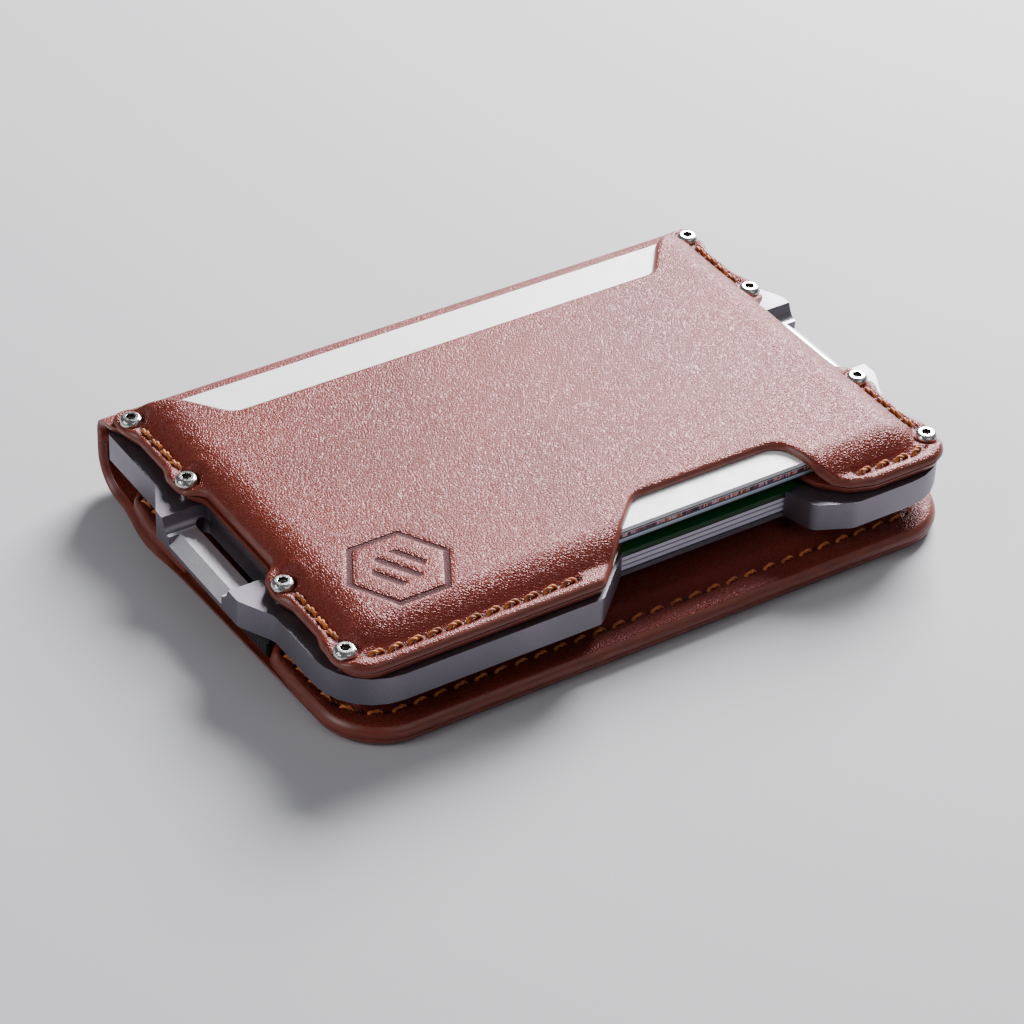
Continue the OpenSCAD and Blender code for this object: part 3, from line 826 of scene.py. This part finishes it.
# ---- The folded leather sheet: upper half of the spine and the leather on the tray -----------
# The same sheet comes over the upper fold, skived thinner, and lies on the tray, where the eight
# screws hold it. Beside each lanyard bar and at the thumb notch it is cut back.

edge_keys = [(-28.4, 0.0), (-26.0, 0.0), (-22.6, 0.8), (-17.2, 0.8), (-14.0, 0.0), (-11.0, 0.4),
             (-7.6, 9.0), (8.9, 9.0), (11.6, 0.4), (14.6, 0.0), (17.8, 0.8), (24.0, 0.8), (27.4, 0.0)]


def leather_half_width(y, half, waist):
    """Half of the upper leather's length: full at the screws, dipping between them, and cut back
    to its waist beside the lanyard bars."""
    place = (y - tray_middle_y) / mm
    keys = [(at, half - dip * mm if dip < 5 else waist) for at, dip in edge_keys]
    if place <= keys[0][0]:
        return keys[0][1]
    for (a, first), (b, second) in zip(keys, keys[1:]):
        if place < b:
            return first + (second - first) * step(a, b, place)
    return keys[-1][1]


def round_corners(points, steps=8):
    """A line through the corners (x, y, radius), each corner turned into an arc."""
    line = [Vector(points[0][:2])]
    for before, at, after in zip(points, points[1:], points[2:]):
        corner = Vector(at[:2])
        to_before = (Vector(before[:2]) - corner).normalized()
        to_after = (Vector(after[:2]) - corner).normalized()
        half = to_before.angle(to_after) / 2
        reach = at[2] / math.tan(half)
        centre = corner + (to_before + to_after).normalized() * at[2] / math.sin(half)
        first = corner + to_before * reach - centre
        last = corner + to_after * reach - centre
        start = math.atan2(first.y, first.x)
        turn = math.atan2(first.x * last.y - first.y * last.x, first.dot(last))
        for k in range(steps + 1):
            a = start + turn * k / steps
            line.append(centre + at[2] * Vector((math.cos(a), math.sin(a))))
    line.append(Vector(points[-1][:2]))
    return line


def height_at(line, x):
    """The second coordinate of a line at x."""
    for a, b in zip(line, line[1:]):
        if x <= b.x:
            return a.y + (b.y - a.y) * (x - a.x) / (b.x - a.x) if b.x > a.x else b.y
    return line[-1].y


def shared_columns(first, second, count):
    """Column places along X in mm, closer together wherever either line is steep."""
    narrowest, fine_steps = 0.06, 4000
    low, high = first[0].x, first[-1].x
    fine = [low + (high - low) * k / fine_steps for k in range(fine_steps + 1)]
    points = [Vector((x, 0.6 * height_at(first, x), 0.6 * height_at(second, x))) for x in fine]
    lengths = arc_length_points(points)
    places = [along(points, lengths, k / count).x for k in range(count // 2 + 1)]
    for k in range(1, len(places)):
        places[k] = max(places[k], places[k - 1] + narrowest)
    others = [along(points, lengths, 1 - k / count).x for k in range(count - count // 2)]
    for k in range(1, len(others)):
        others[k] = min(others[k], others[k - 1] - narrowest)
    return places + others[::-1]


base_half = 47.4 * mm
base_waist = 45.4 * mm
base_front = round_corners([(-47.4, -28.7, 0), (-47.4, -33, 4.3), (-9.9, -33, 1.4), (1.5, -22.3, 3.4),
                            (25.5, -22.3, 3.2), (27.3, -28.5, 3.5), (30.5, -31.9, 2.5), (34, -33, 2),
                            (47.4, -33, 4.3), (47.4, -28.7, 0)])
flat_edge = [Vector((-47.4, 30)), Vector((47.4, 30))]
base_columns, fold_rows, flat_rows = 150, 22, 110
base_columns_x = shared_columns(base_front, flat_edge, base_columns)
upper_fold_y = spine_high.y - upper_fold_r
upper_fold_z = base_high.z - upper_fold_r
upper_rows = fold_rows + flat_rows
upper_sheet = flat_grid("upper_sheet", base_columns, upper_rows, hide_leather, hide_edge)
for vertex in upper_sheet.data.vertices:
    column = round(vertex.co.x * base_columns)
    row = round(vertex.co.y * upper_rows)
    x = base_columns_x[column] * mm
    share = x / base_half
    if row <= fold_rows:
        run = row / fold_rows * (upper_fold_z - spine_middle_z + upper_fold_r * math.pi / 2)
        half = spine_high.x
        if run < upper_fold_z - spine_middle_z:
            y, z = spine_high.y, spine_middle_z + run
        else:
            a = (run - upper_fold_z + spine_middle_z) / upper_fold_r
            y = upper_fold_y + upper_fold_r * math.cos(a)
            z = upper_fold_z + upper_fold_r * math.sin(a)
    else:
        t = denser_at_ends((row - fold_rows) / flat_rows, 0.3)
        front = height_at(base_front, base_columns_x[column]) * mm + tray_middle_y
        y = upper_fold_y + (front - upper_fold_y) * t
        z = base_high.z
        from_fold = 1 - step(upper_fold_y - 3.5 * mm, upper_fold_y, y)
        half = leather_half_width(y, base_half, base_waist)
        half += (spine_high.x - half) * (1 - from_fold)
    outward = step(0.8, 1.0, abs(share))
    x += (half - base_half) * outward * math.copysign(1.0, x)
    vertex.co = (x, y, z)
for polygon in upper_sheet.data.polygons:
    polygon.flip()
upper_walls, upper_skive = [], []
upper_insides = distance_from_edge(upper_sheet, base_columns, upper_rows)
for vertex, inside in zip(upper_sheet.data.vertices, upper_insides):
    at_spine = 1 - step(upper_fold_z, base_high.z - 0.3 * mm, vertex.co.z)
    if vertex.co.z < base_high.z - 0.01 * mm:
        inside = spine_high.x - abs(vertex.co.x)
    bulge = max(0.15 + 0.35 * at_spine, round_over(inside, spine_edge_r))
    vertex.co.y -= at_spine * cover_thickness * (1 - bulge) / 2
    upper_walls.append(bulge)
    pared = step(spine_middle_z, upper_fold_z, vertex.co.z)
    upper_skive.append(1 + (base_thickness / cover_thickness - 1) * pared)
vary_wall(upper_sheet, upper_walls, upper_skive)
thicken(upper_sheet, cover_thickness, 0.05 * mm)
flatten_end(upper_sheet)
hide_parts("base_leather")
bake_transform(upper_sheet)

# ---- The moulded pocket leather --------------------------------------------------------------
# The outer card pocket: one piece of pebbled hide, wet-moulded over a block to stand up round the
# cards, sewn to the leather below and held down by the eight screws. A plain mark is pressed in.

pocket_half = 47.9 * mm
pocket_waist = 45.0 * mm
dome_rise = pocket_high.z - rim_top
pocket_leather_thickness = 1.15 * mm
pocket_edge_r = 0.95 * mm
screw_spots = [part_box("screw_%d" % k) for k in range(1, 9)]
screw_spots = [((low.x + high.x) / 2, (low.y + high.y) / 2) for low, high in screw_spots]

upper_seams = {
    "thread_rear_left": stitches_on(shift([(-45.7, 26.1), (-45.5, 15.1)])),
    "thread_side_left": stitches_on(shift([(-45.5, -14.9), (-45.7, -26.1)])),
    "thread_front_left": stitches_on(shift([(-43.9, -30.3), (-41.5, -30.8), (-12.6, -30.8)])),
    "thread_front_right": stitches_on(shift([(32.3, -30.6), (41.5, -30.8), (43.9, -30.3)])),
    "thread_side_right": stitches_on(shift([(45.5, -14.9), (45.7, -26.1)])),
    "thread_rear_right": stitches_on(shift([(45.7, 26.1), (45.5, 15.1)])),
}
upper_stitches = sum(upper_seams.values(), [])


def dome_height(x, y):
    """The top of the moulded leather: a flat panel, a soft shoulder all round, and the rim."""
    place = (y - tray_middle_y) / mm
    from_side = (45.2 - abs(x) / mm) / 5.4
    from_front = (place + 30.1) / 5.0
    from_rear = (32.6 - place) / 6.0
    across = min(1.0, max(0.0, 1 - from_side))
    lengthwise = min(1.0, max(0.0, 1 - min(from_front, from_rear)))
    out = (across ** 2.4 + lengthwise ** 2.4) ** (1 / 2.4)
    share = max(0.0, 1 - out ** 2.1)
    share = (share + math.sqrt(share ** 2 + 0.012)) / 2 - 0.0548
    return rim_top + dome_rise * min(1.0, max(0.0, share) * 1.052)


pocket_front = round_corners([(-47.9, -28.5, 0), (-47.9, -33, 4.5), (-9.8, -33, 1.4), (1.9, -21.9, 3.4),
                              (25.4, -21.9, 3.2), (27.2, -28.4, 3.5), (30.4, -31.8, 2.5), (34, -33, 2),
                              (47.9, -33, 4.5), (47.9, -28.5, 0)])
pocket_rear = round_corners([(-47.9, 29.7, 0), (-47.9, 31.3, 1.6), (-44.9, 31.3, 1.4), (-39.2, 27, 1.6),
                             (-34.3, 20.8, 2.5), (34.3, 20.8, 2.5), (39.2, 27, 1.6), (44.9, 31.3, 1.4),
                             (47.9, 31.3, 1.6), (47.9, 29.7, 0)])
pocket_columns, pocket_rows = 250, 176
mark_middle = Vector((-33 * mm, -19.2 * mm))


def mark_depth(x, y):
    """How far a point is pressed in by the plain mark: three bars in a hexagon."""
    across, up = (x - mark_middle.x) / mm, (y - mark_middle.y) / mm
    if max(abs(across), abs(up)) > 9:
        return 0.0
    hexagon = max(abs(up), 0.866 * abs(across) + 0.5 * abs(up))
    ring = 1 - step(0.25, 0.7, abs(hexagon - 6.235))
    a = math.radians(-30)
    side = across * math.cos(a) - up * math.sin(a)
    length = across * math.sin(a) + up * math.cos(a)
    off_bar = abs((side + 1.3) % 2.6 - 1.3)
    bar = (1 - step(0.35, 0.75, off_bar)) * (1 - step(3.0, 3.7, abs(length) + 0.385 * abs(side)))
    return max(ring, bar if abs(side) < 3.8 else 0.0)


pocket_columns_x = shared_columns(pocket_front, pocket_rear, pocket_columns)
pocket_front_y = [height_at(pocket_front, x) for x in pocket_columns_x]
pocket_rear_y = [height_at(pocket_rear, x) for x in pocket_columns_x]
pocket_hide = pebbled_leather("pebbled cowhide, wet-moulded", "#792D18", "#642311", 0.38, 0.065, 0.35,
                              stamp=mark_middle)
pocket = flat_grid("moulded_pocket", pocket_columns, pocket_rows, pocket_hide, hide_edge)
pocket_pressed_and_shade, pocket_hole_shade = [], []
for vertex in pocket.data.vertices:
    column = round(vertex.co.x * pocket_columns)
    t = denser_at_ends(vertex.co.y, 0.35)
    front, rear = pocket_front_y[column], pocket_rear_y[column]
    y = (front + (rear - front) * t) * mm + tray_middle_y
    x = pocket_columns_x[column] * mm
    half = leather_half_width(y, pocket_half, pocket_waist)
    outward = step(0.84, 1.0, abs(x) / pocket_half)
    x += (half - pocket_half) * outward * math.copysign(1.0, x)
    z = dome_height(x, y)
    # Darker the lower it lies on the dome: on the slopes this is painted shade, on the flat rim and in
    # the screw seats pressed leather.
    pressed = 0.9 * (1 - step(0.05, 0.9, (z - rim_top) / dome_rise))
    for spot_x, spot_y in screw_spots:
        away = math.hypot(x - spot_x, y - spot_y)
        if away < 5 * mm:
            seat = 1 - step(1.5 * mm, 2.35 * mm, away)
            z += (rim_top - 0.36 * mm - z) * seat
            z += 0.12 * mm * math.exp(-((away - 2.9 * mm) / (0.6 * mm)) ** 2)
            pressed = max(pressed, seat)
    deep, dark = furrow_and_holes(x, y, upper_stitches, 1.0 * mm)
    vertex.co = (x, y, z - 0.28 * mm * deep - 0.15 * mm * dark - 0.2 * mm * mark_depth(x, y))
    pocket_pressed_and_shade.append(min(1.0, max(pressed, 0.7 * deep)))
    pocket_hole_shade.append(dark)
pocket_walls = []
pocket_insides = distance_from_edge(pocket, pocket_columns, pocket_rows)
for vertex, inside in zip(pocket.data.vertices, pocket_insides):
    bulge = round_over(inside, pocket_edge_r)
    vertex.co.z -= (pocket_leather_thickness - 0.12 * mm) * (1 - bulge)
    pocket_walls.append(max(0.12, bulge))
vary_wall(pocket, pocket_walls)
paint(pocket, "pressed", pocket_pressed_and_shade)
# The awl holes along the seams are stored for their painted shade.
paint(pocket, "hole_shade", pocket_hole_shade)
thicken(pocket, pocket_leather_thickness, 0.05 * mm)
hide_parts("pocket_leather")
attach(pocket, "upper")

# ---- The upper seams -------------------------------------------------------------------------
# Six short runs of the same thread sew the pocket to the leather on the tray, from screw to screw
# along the short sides and along the front on both sides of the notch.

upper_thread_r = 0.32 * mm
upper_seam_z = rim_top - 0.14 * mm
bpy.data.objects.remove(stitch_master)
stitch_master = one_stitch(upper_thread_r)
for node, places in upper_seams.items():
    sew(node, places, upper_seam_z, "upper")

# ---- The screws ------------------------------------------------------------------------------
# Eight stainless steel machine screws clamp the leathers to the tray. Each has a low turned head
# with a bevelled rim and a hexagon socket, and sits in a dimple that it presses in the leather.

# Stainless steel, turned and tumbled: bright, with faint rings from the tool and a few scuffs.
steel, steel_shader = new_material("stainless steel, turned")
steel_uv = add(steel, "UVMap", {}, uv_map="from_axis")
tool_rings = add(steel, "TexWave", {"Vector": steel_uv, "Scale": 3.5, "Distortion": 0.6, "Detail": 2.0},
        wave_type="RINGS", rings_direction="SPHERICAL")
scuffs = add(steel, "TexNoise", {"Vector": steel_uv, "Scale": 2.2, "Detail": 5.0})
ring_bump = add(steel, "Bump", {"Height": tool_rings.outputs["Fac"], "Strength": 0.08,
        "Distance": 0.004 * mm})
steel_gloss = add(steel, "MapRange", {"Value": scuffs, "From Min": 0.35, "From Max": 0.65,
        "To Min": 0.16, "To Max": 0.30})
feed(steel, steel_shader, {"Roughness": steel_gloss, "Normal": ring_bump,
        "Base Color": linear("#C9C8C6"), "Metallic": 1.0})

# Inside the sockets the steel is painted dark, a mottled brownish grey: painted shade in the deep hexagon
# recess.
socket_shade, socket_shade_shader = new_material("steel socket, painted shade")
socket_shade_place = add(socket_shade, "TexCoord", {}).outputs["Object"]
socket_shade_noise = add(socket_shade, "TexNoise", {"Vector": socket_shade_place, "Scale": 1 / (0.3 * mm), "Detail": 3.0})
socket_shade_tone = add(socket_shade, "Mix", {"Factor": socket_shade_noise, "A": linear("#1C1512"), "B": linear("#57504A")},
        data_type="RGBA")
feed(socket_shade, socket_shade_shader, {"Base Color": socket_shade_tone.outputs["Result"], "Metallic": 0.8,
        "Roughness": 0.5})

screw_master = copy_of("screw_1", "screw_master", steel, socket_shade)
first_x, first_y = screw_spots[0]
# The inner faces of each socket take the painted-shade material.
for face in screw_master.data.polygons:
    from_middle = math.hypot(face.center.x - first_x, face.center.y - first_y)
    if from_middle < 0.75 * mm and rim_top < face.center.z < rim_top + 0.55 * mm:
        face.material_index = 1
break_edges(screw_master, 0.05 * mm, 2, -1)
from_axis = screw_master.data.uv_layers.new(name="from_axis")
for loop in screw_master.data.loops:
    point = screw_master.data.vertices[loop.vertex_index].co
    from_axis.data[loop.index].uv = ((point.x - first_x) / mm, (point.y - first_y) / mm)
for number, (spot_x, spot_y) in enumerate(screw_spots, 1):
    screw = screw_master.copy()
    screw.data = screw_master.data.copy()
    bpy.context.scene.collection.objects.link(screw)
    screw.name = "tray_screw_%d" % number
    screw.data.name = screw.name
    select(screw)
    bpy.ops.object.mode_set(mode="EDIT")
    bpy.ops.mesh.select_all(action="SELECT")
    bpy.ops.transform.rotate(value=math.radians(23 * number), orient_axis="Z",
                             center_override=(first_x, first_y, 0))
    bpy.ops.transform.translate(value=(spot_x - first_x, spot_y - first_y, 0))
    bpy.ops.object.mode_set(mode="OBJECT")
    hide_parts("screw_%d" % number)
    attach(screw, "upper")
bpy.data.objects.remove(screw_master)
bpy.data.objects.remove(stitch_master)
